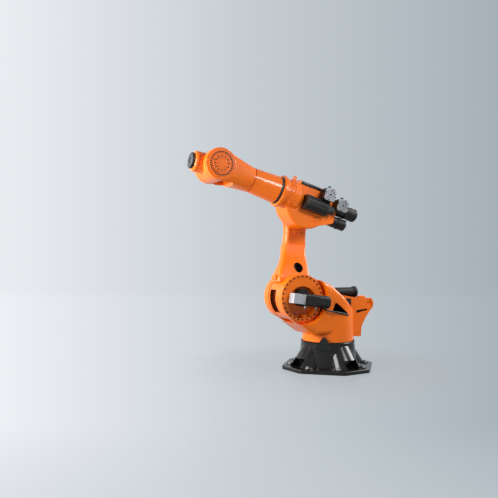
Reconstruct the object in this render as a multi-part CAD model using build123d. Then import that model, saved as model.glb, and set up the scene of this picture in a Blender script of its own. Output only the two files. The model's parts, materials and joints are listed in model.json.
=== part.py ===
# Six-axis articulated robot arm, standing on the floor. X is forward, Y is
# the robot's left, Z is up, and all lengths are in mm.
import os
from math import acos, atan2, cos, degrees, hypot, radians, sin
from build123d import *

# joint centres and the resting pose
shoulder_reach = 600.0
shoulder_height = 1100.0
link_length = 1400.0
elbow_rise = 45.0
forearm_side = 130.0
wrist_reach = 1525.0
flange_reach = 372.0
link_angle = 95.7
arm_angle = 16.9
hand_angle = 9.6
base_turn = 52.0
link_back_angle = 130.0
link_down_angle = -17.5
wrist_limit = 118.0

# shared fits
run_gap = 7.0
seat_gap = 0.3
overrun = 60.0

# base casting: foot plate, lobed skirt and top ring
drum_r = 392.0
foot_half = 658.0
foot_corner = 330.0
foot_round = 110.0
foot_thick = 55.0
foot_edge = 12.0
foot_bolt_circle = 1180.0
foot_bolt_r = 19.5
foot_bolt_count = 8
foot_pad_r = 56.0
foot_pad_high = 9.0
skirt_flare = 28.0
ring_step = 20.0
ring_low = 380.0
ring_top = 420.0
ring_edge = 8.0
lobe_count = 4
lobe_low_place = 418.0
lobe_low_r = 228.0
lobe_top_place = 240.0
lobe_top_r = 168.0
pocket_wide = 240.0
pocket_high = 125.0
pocket_place = 575.0

# slewing ring, stop and connection box
slew_r = 330.0
slew_bore_r = 230.0
slew_spigot_r = 260.0
slew_spigot_high = 120.0
stop_thick = 60.0
stop_low_half = 140.0
stop_top_half = 20.0
stop_low = 330.0
stop_top = 508.0
socket_box_wide = 360.0
socket_box_high = 230.0
socket_box_out = 610.0
socket_box_deep = 210.0
socket_box_low = 110.0
socket_box_edge = 14.0
socket_r = 34.0
socket_long = 34.0
socket_pitch = 100.0

# column casting: barrel, shoulder cheeks and rear horn
belly_low = 540.0
crest_x = 128.0
crest_z = 1286.0
barrel_slope = 42.5
barrel_round = 62.0
fairing_out = 376.0
fairing_round = 84.0
cheek_out = 235.0
cheek_in = 150.0
disc_r = 346.0
recess_r = 392.0
hub_r = 344.0
hub_room = 14.0
link_rear_room = 262.0
axle_r = 120.0
axle_in = 40.0
horn_half = 150.0
horn_slot_half = 95.0
horn_slot_floor = 862.0
horn_root_x = -110.0
horn_root_z = 1132.0
horn_sag_x = -420.0
horn_sag_z = 1074.0
horn_crown_x = -716.0
horn_crown_z = 1057.0
horn_tip_x = -752.0
horn_tip_z = 985.0
horn_chin_x = -736.0
horn_chin_z = 912.0
horn_throat_x = -598.0
horn_throat_z = 750.0
horn_waist_x = -522.0
horn_waist_z = 610.0
horn_foot_x = -512.0
horn_foot_z = 470.0
horn_round = 40.0
tip_groove_top_x = -680.0
tip_groove_top_z = 1030.0
tip_groove_low_x = -716.0
tip_groove_low_z = 930.0
tip_groove_half = 12.0
tip_groove_deep = 22.0
light_front_x = -428.0
light_rear_x = -634.0
light_front_z = 850.0
light_rear_z = 881.0
light_front_half = 25.0
light_rear_half = 12.0
window_top_x = 87.0
window_top_z = 1036.0
window_front_x = 143.0
window_front_z = 880.0
window_rear_x = -124.0
window_low_z = 812.0
window_rear_z = 862.0
window_round = 26.0

# shoulder covers
cover_thick = 58.0
cover_edge = 6.0
cover_recess_r = 236.0
cover_cup_wall = 26.0
cover_cup_in = 190.0
cover_cup_drop = 66.0
cover_cup_floor = 14.0
cover_boss_r = 36.0
cover_boss_place = 220.0
cover_boss_angle = -104.0
kidney_count = 3
kidney_in_r = 165.0
kidney_out_r = 285.0
kidney_turn = 80.0
kidney_deep = 34.0

# shoulder drive
drive_axis_out = 404.0
drive_axis_z = 1080.0
drive_droop = 8.0
drive_front = 234.0
drive_head_long = 191.0
drive_head_half = 72.0
drive_head_edge = 8.0
drive_body_long = 202.0
drive_body_half = 88.0
drive_body_edge = 34.0
drive_end_long = 219.0
drive_end_half = 90.0
drive_end_bevel = 42.0
drive_flange_r = 128.0
cable_r = 13.0
cable_x = 300.0
cable_start_z = 1010.0
cable_drop_z = 935.0
cable_knee_x = 200.0
cable_knee_z = 900.0
cable_clear = 7.0
cable_low_x = 30.0
cable_low_z = 872.0
cable_sink = 18.0
cable_end_z = 832.0
cable_drop_bend = 46.0
cable_knee_bend = 400.0
cable_low_bend = 600.0

# counterbalance
tank_r = 74.0
tank_rim_r = 88.0
tank_rim_long = 40.0
tank_rear_x = -500.0
tank_long = 350.0
tank_z = 1152.0
tank_foot_half = 36.0
tank_foot_x = -330.0
tank_foot_long = 180.0
spring_r = 74.0
spring_rear_x = -560.0
spring_long = 680.0
spring_z = 978.0
spring_cap_r = 80.0
spring_cap_long = 36.0
spring_pin_r = 30.0
spring_pin_x = -638.0
spring_eye_r = 62.0
spring_eye_half = 40.0
spring_pin_sunk = 12.0
valve_half = 58.0
valve_top = 1098.0
valve_x = -535.0
valve_inset = 5.0
valve_edge = 12.0
bumper_half = 60.0
bumper_thick = 34.0
bumper_low = 452.0
bumper_high = 62.0
bumper_edge = 12.0

# link arm
link_hub_half = 143.0
link_hub_edge = 18.0
link_near = -115.0
link_far = -290.0
link_top_r = 300.0
link_round = 44.0
link_root_s = 205.0
link_root_half = 134.0
link_root_rear = -270.0
link_root_front = 330.0
link_foot_s = 330.0
link_foot_rear = -202.0
link_foot_front = 308.0
link_foot_near = 112.0
link_shin_s = 455.0
link_shin_rear = -205.0
link_shin_front = 258.0
link_shin_near = 42.0
link_knee_s = 610.0
link_knee_rear = -214.0
link_knee_front = 192.0
link_knee_near = -56.0
link_knee_far = -216.0
link_waist_drop = 600.0
link_waist_rear = -222.0
link_waist_front = 141.0
link_waist_near = -122.0
link_neck_drop = 370.0
link_neck_rear = -205.0
link_neck_front = 142.0
link_brow_drop = 100.0
link_brow_rear = -262.0
link_brow_front = 232.0
link_hole_r = 76.0
link_hole_s = 445.0
link_hole_x = -22.0
link_hole_floor = -70.0
groove_deep = 62.0
groove_half = 95.0
groove_low_angle = -48.0
groove_high_angle = 14.0
link_lug_in = 110.0
link_lug_out = 18.0
link_lug_half = 62.0
link_lug_low_s = 234.0
link_lug_high_s = 306.0
link_lug_edge = 16.0
cap_r = 250.0
cap_thick = 30.0
cap_edge = 6.0
spoke_in_r = 110.0
spoke_out_r = 215.0
spoke_turn = 60.0
spoke_count = 4

# arm housing
arm_drum_r = 372.0
arm_drum_edge = 26.0
arm_near = 227.0
arm_far = -108.0
arm_top = 296.0
arm_rear_far = 6.0
arm_rear_u = -490.0
arm_rear_top = 176.0
arm_rear_low = -150.0
arm_back_u = -170.0
arm_back_top = 286.0
arm_belly_u = -160.0
arm_belly_v = -312.0
arm_rear_round = 50.0
boss_r = 214.0
boss_start = 195.0
boss_end = 440.0
boss_taper = 95.0
boss_root_r = 112.0
boss_ring_r = 239.0
boss_ring_end = 490.0
boss_ring_edge = 7.0
tube_bore_r = 150.0
tube_bore_deep = 90.0
elbow_axle_r = 150.0
elbow_axle_deep = 130.0
lug_u = 280.0
lug_r = 30.0
lug_high = 62.0
lug_eye_r = 14.0
lug_half = 12.0

# arm drives
elbow_motor_front = 100.0
elbow_motor_long = 390.0
elbow_motor_top = 110.0
elbow_motor_low = -105.0
elbow_motor_out = 395.0
elbow_motor_bevel = 70.0
elbow_nose_long = 95.0
elbow_nose_r = 62.0
box_half = 92.0
box_round = 40.0
box_out = 372.0
box_cap_thick = 26.0
box_cap_edge = 8.0
box_eye_r = 17.0
box_eye_deep = 12.0
box_dish_r = 66.0
box_dish_deep = 5.0
box_a_u = -236.0
box_a_v = 212.0
box_b_u = -488.0
box_b_v = 120.0
plug_r = 24.0
plug_high = 44.0
plug_y = 300.0
rear_motor_r = 100.0
rear_motor_end = -885.0
rear_motor_start = -440.0
rear_motor_v = 105.0
rear_motor_y = 118.0
low_motor_r = 84.0
low_motor_end = -745.0
low_motor_start = -430.0
low_motor_v = -100.0
low_motor_y = 124.0
motor_band_long = 22.0
motor_band_grow = 8.0
motor_bevel = 16.0
hose_r = 13.0
hose_y = 70.0
hose_front_u = 130.0
hose_rear_u = -190.0
hose_lift = 15.0
hose_bend = 40.0

# forearm and wrist
tube_r = 203.0
tube_end_r = 182.0
seal_end = 535.0
seam_long = 16.0
seam_r = 172.0
fork_root_r = 184.0
fork_long = 561.0
fork_straight = 140.0
fork_half_y = 262.0
fork_half_v = 218.0
fork_corner = 120.0
fork_in = 190.0
fork_disc_r = 224.0
fork_disc_edge = 14.0
fork_clear_r = 234.0
fork_sweep = 420.0
wrist_cap_r = 184.0
wrist_cap_thick = 12.0
wrist_cap_step_r = 128.0
wrist_cap_step = 7.0
wrist_cap_edge = 4.0
wrist_axle_r = 90.0
wrist_axle_in = 60.0

# hand and tool flange
hand_drum_r = 225.0
hand_half = 183.0
hand_edge = 16.0
neck_r = 148.0
neck_end = 328.0
neck_bevel = 14.0
neck_groove_s = 268.0
neck_groove_long = 9.0
neck_groove_deep = 7.0
flange_r = 114.0
flange_bevel = 5.0
flange_spigot_r = 70.0
flange_spigot_long = 60.0
flange_hole_circle = 160.0
flange_hole_r = 8.5
flange_hole_deep = 30.0
flange_hole_count = 12
flange_bore_r = 50.0
flange_bore_deep = 8.0

quarter_turn = 90.0
full_turn = 360.0

shoulder = Pos(shoulder_reach, 0, shoulder_height)
link_frame = shoulder * Rot(0, quarter_turn - link_angle, 0)
elbow = link_frame * Pos(0, 0, link_length)
arm_frame = elbow * Rot(0, link_angle - quarter_turn - arm_angle, 0)
forearm_frame = arm_frame * Pos(0, forearm_side, elbow_rise)
hand_frame = forearm_frame * Pos(wrist_reach, 0, 0) * Rot(0, arm_angle - hand_angle, 0)
drive_frame = Pos(shoulder_reach, drive_axis_out, drive_axis_z) * Rot(0, -drive_droop, 0)
base_frame = Rot(0, 0, base_turn)


def side_face(points):
    return make_face(Polyline(*[(x, 0, z) for x, z in points], close=True))


def side_plate(outline, low_y, high_y):
    return Pos(0, low_y, 0) * extrude(outline, high_y - low_y, dir=(0, 1, 0))


def rod_x(r, low_x, high_x):
    return Pos((low_x + high_x) / 2, 0, 0) * Rot(0, quarter_turn, 0) * Cylinder(r, high_x - low_x)


def rod_y(r, low_y, high_y):
    return Pos(0, (low_y + high_y) / 2, 0) * Rot(quarter_turn, 0, 0) * Cylinder(r, high_y - low_y)


def rod_z(r, low_z, high_z):
    return Pos(0, 0, (low_z + high_z) / 2) * Cylinder(r, high_z - low_z)


def block(low_x, high_x, low_y, high_y, low_z, high_z):
    box = Box(high_x - low_x, high_y - low_y, high_z - low_z)
    return Pos((low_x + high_x) / 2, (low_y + high_y) / 2, (low_z + high_z) / 2) * box


def rounded_rod_y(r, low_y, high_y, edge):
    return fillet(rod_y(r, low_y, high_y).edges().filter_by(GeomType.CIRCLE), edge)


def ring_sector(in_r, out_r, mid_angle, turn, low_y, high_y):
    start, end = radians(mid_angle - turn / 2), radians(mid_angle + turn / 2)
    mid = radians(mid_angle)

    def at(r, a):
        return (r * cos(a), 0, r * sin(a))

    outer = ThreePointArc(at(out_r, start), at(out_r, mid), at(out_r, end))
    inner = ThreePointArc(at(in_r, end), at(in_r, mid), at(in_r, start))
    edges = [outer, Line(at(out_r, end), at(in_r, end)), inner, Line(at(in_r, start), at(out_r, start))]
    return side_plate(make_face(Wire(edges)), low_y, high_y)


def touch_point(x, z, centre_x, centre_z, r, side):
    reach = hypot(x - centre_x, z - centre_z)
    angle = atan2(z - centre_z, x - centre_x) + side * acos(r / reach)
    return centre_x + r * cos(angle), centre_z + r * sin(angle)


def base_lobe():
    low = Pos(lobe_low_place, 0, foot_thick) * Circle(lobe_low_r)
    top = Pos(lobe_top_place, 0, ring_low) * Circle(lobe_top_r)
    pocket_half = pocket_wide / 2
    pocket = block(pocket_place - pocket_half, pocket_place + pocket_half, -pocket_half, pocket_half,
                   foot_thick, foot_thick + pocket_high)
    return loft([low.face(), top.face()]) - pocket


def base_casting():
    h, c = foot_half, foot_corner
    corners = [(h, c), (c, h), (-c, h), (-h, c), (-h, -c), (-c, -h), (c, -h), (h, -c)]
    foot = extrude(make_face(Polyline(*corners, close=True)), foot_thick)
    foot = fillet(foot.edges().filter_by(Axis.Z), foot_round)
    foot = fillet(foot.faces().sort_by(Axis.Z)[-1].edges(), foot_edge)
    ring_r = drum_r + ring_step
    skirt_high = ring_low - foot_thick
    skirt = Cone(ring_r + skirt_flare, ring_r, skirt_high)
    body = foot + Pos(0, 0, foot_thick + skirt_high / 2) * skirt
    for i in range(lobe_count):
        body = body + Rot(0, 0, full_turn * (i + 0.5) / lobe_count) * base_lobe()
    ring = rod_z(ring_r, ring_low, ring_top)
    body = body + chamfer(ring.faces().sort_by(Axis.Z)[-1].edges(), ring_edge)
    spot = Pos(foot_bolt_circle / 2, 0, 0)
    for i in range(foot_bolt_count):
        turn = Rot(0, 0, full_turn * (i + 0.5) / foot_bolt_count)
        pad = turn * spot * rod_z(foot_pad_r, 0, foot_thick + foot_pad_high)
        body = body + pad - turn * spot * rod_z(foot_bolt_r, -overrun, foot_thick + overrun)
    return base_frame * body


def base_slew_ring():
    top = ring_top + slew_spigot_high
    ring = rod_z(slew_r, ring_top, ring_top + run_gap - seat_gap) + rod_z(slew_spigot_r, ring_top, top)
    return ring - rod_z(slew_bore_r, ring_top - overrun, top + overrun)


def base_stop():
    outline = [(-stop_low_half, stop_low), (stop_low_half, stop_low), (stop_top_half, stop_top),
               (-stop_top_half, stop_top)]
    fin = make_face(Polyline(*[(0, y, z) for y, z in outline], close=True))
    fin = Pos(drum_r + run_gap, 0, 0) * extrude(fin, stop_thick, dir=(1, 0, 0))
    return base_frame * fin - base_casting()


def base_socket_box():
    half = socket_box_wide / 2
    box = block(-socket_box_out, socket_box_deep - socket_box_out, -half, half,
                socket_box_low, socket_box_low + socket_box_high)
    box = fillet(box.faces().sort_by(Axis.X)[0].edges(), socket_box_edge)
    return base_frame * box - base_casting()


def base_socket(place):
    mid = socket_box_low + socket_box_high / 2
    spot = Pos(0, place * socket_pitch, mid)
    return base_frame * spot * rod_x(socket_r, -socket_box_out - socket_long, -socket_box_out)


def barrel():
    low = ring_top + run_gap
    body = rod_z(drum_r, low, crest_z)
    rise = (drum_r + crest_x) * sin(radians(barrel_slope)) / cos(radians(barrel_slope))
    side = [(-drum_r, low), (drum_r, low), (drum_r, crest_z), (crest_x, crest_z), (-drum_r, crest_z - rise)]
    body = body & side_plate(side_face(side), -drum_r, drum_r)
    return fillet(body.edges().group_by(Axis.Z)[-1] + body.edges().filter_by(GeomType.ELLIPSE), barrel_round)


def shoulder_web():
    top = touch_point(crest_x, crest_z, shoulder_reach, shoulder_height, disc_r, -1)
    low = touch_point(drum_r, belly_low, shoulder_reach, shoulder_height, disc_r, 1)
    side = [(crest_x, crest_z), top, low, (drum_r, belly_low), (0, belly_low), (0, crest_z - drum_r)]
    web = side_plate(side_face(side), -fairing_out, fairing_out)
    rims = web.edges().group_by(Axis.Y)
    return fillet(rims[0] + rims[-1], fairing_round)


def horn():
    top = ThreePointArc((horn_root_x, 0, horn_root_z), (horn_sag_x, 0, horn_sag_z),
                        (horn_crown_x, 0, horn_crown_z))
    under = ThreePointArc((horn_chin_x, 0, horn_chin_z), (horn_throat_x, 0, horn_throat_z),
                          (horn_waist_x, 0, horn_waist_z))
    nose = Polyline((horn_crown_x, 0, horn_crown_z), (horn_tip_x, 0, horn_tip_z),
                    (horn_chin_x, 0, horn_chin_z))
    foot = Polyline((horn_waist_x, 0, horn_waist_z), (horn_foot_x, 0, horn_foot_z),
                    (horn_root_x, 0, horn_foot_z), (horn_root_x, 0, horn_root_z))
    outline = make_face(Wire(top.edges() + nose.edges() + under.edges() + foot.edges()))
    plate = side_plate(outline, -horn_half, horn_half)
    rear = plate.edges().filter_by(Axis.Y).sort_by(Axis.X)[:3]
    plate = fillet(rear, horn_round)
    light = [(light_front_x, light_front_z + light_front_half),
             (light_front_x, light_front_z - light_front_half),
             (light_rear_x, light_rear_z - light_rear_half),
             (light_rear_x, light_rear_z + light_rear_half)]
    plate = plate - side_plate(side_face(light), -horn_half - overrun, horn_half + overrun)
    tip = [(tip_groove_top_x + tip_groove_half, tip_groove_top_z),
           (tip_groove_top_x - tip_groove_half, tip_groove_top_z),
           (tip_groove_low_x - tip_groove_half, tip_groove_low_z),
           (tip_groove_low_x + tip_groove_half, tip_groove_low_z)]
    groove = side_plate(side_face(tip), horn_half - tip_groove_deep, horn_half + overrun)
    return plate - groove - mirror(groove, Plane.XZ)


def barrel_window():
    side = [(window_top_x, window_top_z), (window_rear_x, window_rear_z), (window_rear_x, window_low_z),
            (window_front_x, window_front_z)]
    outline = side_face(side)
    outline = fillet(outline.vertices(), window_round)
    return side_plate(outline, horn_slot_half - overrun, drum_r + overrun)


def link_room():
    room = rod_y(hub_r + hub_room, -cheek_in, cheek_in)
    down, back = radians(link_down_angle), radians(link_back_angle)
    near, far = hub_r + hub_room, link_length
    front = [(near * sin(down), -near * cos(down)),
             (near * sin(down) + far * cos(down), far * sin(down) - near * cos(down)), (far, far), (0, far)]
    rear_x, rear_z = -link_rear_room * sin(back), link_rear_room * cos(back)
    rear = [(rear_x, rear_z), (rear_x + far * cos(back), rear_z + far * sin(back)), (0, far), (0, 0)]
    for side in (front, rear):
        room = room + side_plate(side_face(side), -cheek_in, cheek_in)
    return shoulder * room


def drive_room():
    half = drive_end_half + run_gap
    rear = drive_front - drive_head_long - drive_body_long - drive_end_long - run_gap
    return drive_frame * block(rear, drive_front, -half, half, -half, half)


def column_casting():
    body = barrel() + shoulder_web()
    recess = rod_y(recess_r, cheek_out, drum_r + overrun)
    body = body - shoulder * recess - shoulder * mirror(recess, Plane.XZ)
    body = body + shoulder * rod_y(disc_r, -cheek_out, cheek_out) + horn()
    slot = block(horn_tip_x - overrun, shoulder_reach - hub_r, -horn_slot_half, horn_slot_half,
                 horn_slot_floor, crest_z + overrun)
    window = barrel_window()
    body = body - link_room() - slot - window - mirror(window, Plane.XZ)
    body = body - shoulder * rod_y(axle_r + seat_gap, -cheek_out - overrun, cheek_out + overrun)
    body = body - shoulder * cover_cup(seat_gap) - drive_room()
    pin_hole = rod_y(spring_pin_r + seat_gap, -horn_half - overrun, horn_half + overrun)
    body = body - spring_pin_place() * pin_hole
    low = ring_top + run_gap
    return body - rod_z(slew_spigot_r + seat_gap, low - overrun, ring_top + slew_spigot_high + run_gap)


def cover_disc():
    disc = rod_y(disc_r, cheek_out, cheek_out + cover_thick)
    return fillet(disc.edges().group_by(Axis.Y)[-1], cover_edge) + rod_y(axle_r, axle_in, cheek_out)


def cover_cup(room):
    cup = rod_y(cover_recess_r + cover_cup_wall + room, cover_cup_in - room, cheek_out)
    return Pos(0, 0, -cover_cup_drop) * cup


def shoulder_gear_cover():
    out = cheek_out + cover_thick
    floor = cover_cup_in + cover_cup_floor
    cup = Pos(0, 0, -cover_cup_drop)
    cover = cover_disc() + cover_cup(0) - cup * rod_y(cover_recess_r, floor, out + overrun)
    angle = radians(cover_boss_angle)
    boss = rod_y(cover_boss_r, floor, out)
    cover = cover + cup * Pos(cover_boss_place * cos(angle), 0, cover_boss_place * sin(angle)) * boss
    return shoulder * cover


def shoulder_drive_flange():
    return shoulder * rod_y(drive_flange_r, cover_cup_in + cover_cup_floor, drive_axis_out - drive_body_half)


def shoulder_bearing_cover():
    out = cheek_out + cover_thick
    cover = cover_disc()
    for i in range(kidney_count):
        angle = full_turn * (i + 0.25) / kidney_count
        cover = cover - ring_sector(kidney_in_r, kidney_out_r, angle, kidney_turn,
                                    out - kidney_deep, out + overrun)
    return shoulder * mirror(cover, Plane.XZ)


def shoulder_drive_head():
    half = drive_head_half
    box = block(drive_front - drive_head_long, drive_front, -half, half, -half, half)
    return drive_frame * fillet(box.edges().filter_by(Axis.X), drive_head_edge)


def shoulder_motor():
    half = drive_body_half
    front = drive_front - drive_head_long
    box = block(front - drive_body_long, front, -half, half, -half, half)
    return drive_frame * fillet(box.edges().filter_by(Axis.X), drive_body_edge)


def shoulder_motor_end():
    half = drive_end_half
    front = drive_front - drive_head_long - drive_body_long
    box = block(front - drive_end_long, front, -half, half, -half, half)
    box = chamfer(box.edges().filter_by(Axis.X), drive_end_bevel)
    return drive_frame * chamfer(box.faces().sort_by(Axis.X)[0].edges(), motor_bevel)


def tube_along(r, route, bends):
    path = FilletPolyline(*route, radius=bends)
    return sweep(Plane(path @ 0, z_dir=path % 0) * Circle(r), path=path)


def shoulder_cable():
    out = drum_r + cable_clear + cable_r
    route = [(cable_x, drive_axis_out, cable_start_z), (cable_x, drive_axis_out, cable_drop_z),
             (cable_knee_x, out, cable_knee_z), (cable_low_x, out, cable_low_z),
             (window_rear_x - cable_r, drum_r - cable_sink, cable_end_z)]
    cable = tube_along(cable_r, route, [cable_drop_bend, cable_knee_bend, cable_low_bend])
    return cable - shoulder_motor_end() - column_casting()


def counterbalance_tank():
    rear = tank_rear_x
    tank = rod_x(tank_r, rear, rear + tank_long) + rod_x(tank_rim_r, rear, rear + tank_rim_long)
    front_foot = tank_foot_x + tank_foot_long / 2
    foot = block(tank_foot_x - tank_foot_long / 2, front_foot, -tank_foot_half, tank_foot_half,
                 spring_z + spring_r + seat_gap - tank_z, 0)
    return Pos(0, 0, tank_z) * (tank + foot)


def spring_pin_place():
    return Pos(spring_pin_x, 0, spring_z)


def counterbalance_cylinder():
    front = spring_rear_x + spring_long
    body = rod_x(spring_r, spring_rear_x, front) + rod_x(spring_cap_r, front - spring_cap_long, front)
    body = Pos(0, 0, spring_z) * body
    half = spring_eye_half
    eye = rod_y(spring_eye_r, -half, half) + block(0, spring_rear_x - spring_pin_x, -half, half, -half, half)
    eye = eye - rod_y(spring_pin_r + seat_gap, -half - overrun, half + overrun)
    return body + spring_pin_place() * eye


def counterbalance_pin():
    half = horn_half - spring_pin_sunk
    return spring_pin_place() * rod_y(spring_pin_r, -half, half)


def horn_valve():
    valve = block(valve_x - valve_half, valve_x + valve_half, horn_slot_half + valve_inset,
                  horn_half - valve_inset, horn_sag_z - overrun, valve_top)
    return fillet(valve.faces().sort_by(Axis.Z)[-1].edges(), valve_edge) - horn()


def horn_bumper():
    low = bumper_low
    pad = block(horn_foot_x - bumper_thick, horn_foot_x, -bumper_half, bumper_half, low, low + bumper_high)
    return fillet(pad.faces().sort_by(Axis.X)[0].edges(), bumper_edge) - horn()


def link_section(s, rear, front, far, near):
    spot = Plane(((rear + front) / 2, (far + near) / 2, s))
    return (spot * RectangleRounded(front - rear, near - far, link_round)).face()


def link_beam():
    near, far = link_waist_near, link_far
    waist = link_section(link_length - link_waist_drop, link_waist_rear, link_waist_front, far, near)
    crank = loft([
        link_section(link_root_s, link_root_rear, link_root_front, -link_root_half, link_root_half),
        link_section(link_foot_s, link_foot_rear, link_foot_front, -link_root_half, link_foot_near),
        link_section(link_shin_s, link_shin_rear, link_shin_front, -link_root_half, link_shin_near),
        link_section(link_knee_s, link_knee_rear, link_knee_front, link_knee_far, link_knee_near),
        waist])
    upper = loft([
        waist,
        link_section(link_length - link_neck_drop, link_neck_rear, link_neck_front, far, near),
        link_section(link_length - link_brow_drop, link_brow_rear, link_brow_front, far, near)])
    return crank + upper


def link_lug():
    lug = block(hub_r - link_lug_in, hub_r + link_lug_out, -link_lug_half, link_lug_half,
                link_lug_low_s, link_lug_high_s)
    return fillet(lug.faces().sort_by(Axis.X)[-1].edges(), link_lug_edge)


def link_casting():
    half = link_hub_half
    groove = ring_sector(hub_r - groove_deep, hub_r + overrun, (groove_low_angle + groove_high_angle) / 2,
                         groove_high_angle - groove_low_angle, -groove_half, groove_half)
    top = Pos(0, 0, link_length)
    body = rounded_rod_y(hub_r, -half, half, link_hub_edge) + link_beam() + link_lug()
    body = body + top * rounded_rod_y(link_top_r, link_far, link_near, link_hub_edge) - groove
    body = body - rod_y(axle_r + seat_gap, -half - overrun, half + overrun)
    body = body - Pos(link_hole_x, 0, link_hole_s) * rod_y(link_hole_r, link_hole_floor, half + overrun)
    bore = rod_y(elbow_axle_r + seat_gap, link_near - elbow_axle_deep - run_gap, link_near + overrun)
    return link_frame * (body - top * bore)


def link_end_cap():
    cap = rounded_rod_y(cap_r, link_far - cap_thick, link_far, cap_edge)
    for i in range(spoke_count):
        cap = cap - ring_sector(spoke_in_r, spoke_out_r, full_turn * (i + 0.5) / spoke_count, spoke_turn,
                                link_far - cap_thick - overrun, link_far - cap_thick / 2)
    return elbow * cap


def arm_rear_block():
    side = [(0, arm_top), (arm_back_u, arm_back_top), (arm_rear_u, arm_rear_top), (arm_rear_u, arm_rear_low),
            (arm_belly_u, arm_belly_v), (0, arm_belly_v)]
    body = side_plate(side_face(side), arm_rear_far, arm_near)
    return fillet(body.edges().filter_by(Axis.Y).sort_by(Axis.X)[:2], arm_rear_round)


def arm_casting():
    drum = rod_y(arm_drum_r, arm_far, arm_near)
    drum = fillet(drum.edges().group_by(Axis.Y)[-1], arm_drum_edge)
    drum = drum & block(-arm_drum_r, arm_drum_r, arm_far, arm_near, -arm_drum_r, arm_top)
    taper = Rot(0, quarter_turn, 0) * Cone(boss_root_r, boss_r, boss_taper)
    taper = Pos(boss_start - boss_taper / 2, 0, 0) * taper
    ring = rod_x(boss_ring_r, boss_end, boss_ring_end)
    ring = fillet(ring.edges().filter_by(GeomType.CIRCLE), boss_ring_edge)
    boss = taper + rod_x(boss_r, boss_start, boss_end) + ring
    bore_end = boss_ring_end - tube_bore_deep - run_gap
    boss = boss - rod_x(tube_bore_r + seat_gap, bore_end, boss_ring_end + overrun)
    return arm_frame * (drum + arm_rear_block() + Pos(0, forearm_side, elbow_rise) * boss)


def elbow_axle():
    axle = rod_y(elbow_axle_r, link_near - elbow_axle_deep, arm_far)
    return arm_frame * (axle + rod_y(link_top_r, link_near + seat_gap, arm_far))


def arm_lug():
    eye = Pos(0, 0, lug_high) * rod_y(lug_r, -lug_half, lug_half)
    stem = block(-lug_r, lug_r, -lug_half, lug_half, -lug_r, lug_high)
    hole = Pos(0, 0, lug_high) * rod_y(lug_eye_r, -overrun, overrun)
    return forearm_frame * Pos(lug_u, 0, boss_r) * (eye + stem - hole) - arm_casting()


def elbow_motor():
    rear = elbow_motor_front - elbow_motor_long
    box = block(rear, elbow_motor_front, arm_near, elbow_motor_out, elbow_motor_low, elbow_motor_top)
    outer = box.edges().filter_by(Axis.X).group_by(Axis.Y)[-1]
    box = chamfer(outer, elbow_motor_bevel)
    mid = Pos(0, (arm_near + elbow_motor_out) / 2, (elbow_motor_low + elbow_motor_top) / 2)
    return arm_frame * (box + mid * rod_x(elbow_nose_r, rear - elbow_nose_long, rear))


def drive_case(u, v, low_v):
    case = block(u - box_half, u + box_half, arm_near, box_out, low_v, v + box_half)
    return arm_frame * fillet(case.edges().filter_by(Axis.Y), box_round)


def drive_cap(u, v, low_v):
    out = box_out + box_cap_thick
    cap = block(u - box_half, u + box_half, box_out, out, low_v, v + box_half)
    cap = fillet(cap.edges().filter_by(Axis.Y), box_round)
    cap = fillet(cap.faces().sort_by(Axis.Y)[-1].edges(), box_cap_edge)
    eye = rod_y(box_dish_r, out - box_dish_deep, out + overrun)
    eye = eye + rod_y(box_eye_r, out - box_eye_deep, out + overrun)
    return arm_frame * (cap - Pos(u, 0, (low_v + v + box_half) / 2) * eye)


def drive_plug(u, v):
    top = v + box_half
    plug = Pos(u, plug_y, 0) * rod_z(plug_r, top, top + plug_high)
    return arm_frame * chamfer(plug.edges().group_by(Axis.Z)[-1], box_cap_edge)


def round_motor(r, end, start, v, y):
    body = rod_x(r, end, start)
    body = chamfer(body.edges().group_by(Axis.X)[0], motor_bevel)
    mid = (end + arm_rear_u) / 2
    band = rod_x(r + motor_band_grow, mid, mid + motor_band_long)
    return arm_frame * Pos(0, y, v) * (body + band) - arm_casting()


def arm_hose():
    top = arm_top + hose_lift
    low = arm_top - overrun
    route = [(hose_front_u, hose_y, low), (hose_front_u, hose_y, top), (hose_rear_u, hose_y, top),
             (hose_rear_u, hose_y, low)]
    return arm_frame * tube_along(hose_r, route, [hose_bend, hose_bend]) - arm_casting()


def forearm_seal():
    ring = rod_x(tube_r, boss_ring_end + seat_gap, seal_end)
    return forearm_frame * (ring + rod_x(tube_bore_r, boss_ring_end - tube_bore_deep, seal_end))


def forearm_tube():
    long = wrist_reach - fork_long - seam_long - seal_end
    tube = Rot(0, quarter_turn, 0) * Cone(tube_r, tube_end_r, long)
    return forearm_frame * Pos(seal_end + long / 2, 0, 0) * tube


def wrist_fork():
    root = wrist_reach - fork_long
    start_u = wrist_reach - fork_straight
    start = Plane((root, 0, 0), (0, 1, 0), (1, 0, 0)) * Circle(fork_root_r)
    outline = RectangleRounded(fork_half_y * 2, fork_half_v * 2, fork_corner)
    end = (Plane((start_u, 0, 0), (0, 1, 0), (1, 0, 0)) * outline).face()
    body = rod_x(seam_r, root - seam_long, root) + loft([start.face(), end])
    body = body + extrude(end, fork_straight, dir=(1, 0, 0))
    knuckle = Pos(wrist_reach, 0, 0)
    body = body + knuckle * rounded_rod_y(fork_disc_r, -fork_half_y, fork_half_y, fork_disc_edge)
    body = body - knuckle * rod_y(fork_clear_r, -fork_in, fork_in)
    a = radians(wrist_limit)
    back = wrist_reach - (neck_r + run_gap) / sin(a)
    far, up, ahead = back + fork_sweep * cos(a), fork_sweep * sin(a), wrist_reach + fork_sweep
    swept = [(back, 0), (far, up), (ahead, up), (ahead, -up), (far, -up)]
    body = body - side_plate(side_face(swept), -fork_in, fork_in)
    bore = rod_y(wrist_axle_r + seat_gap, -fork_half_y - overrun, fork_half_y + overrun)
    return forearm_frame * (body - knuckle * bore)


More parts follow.
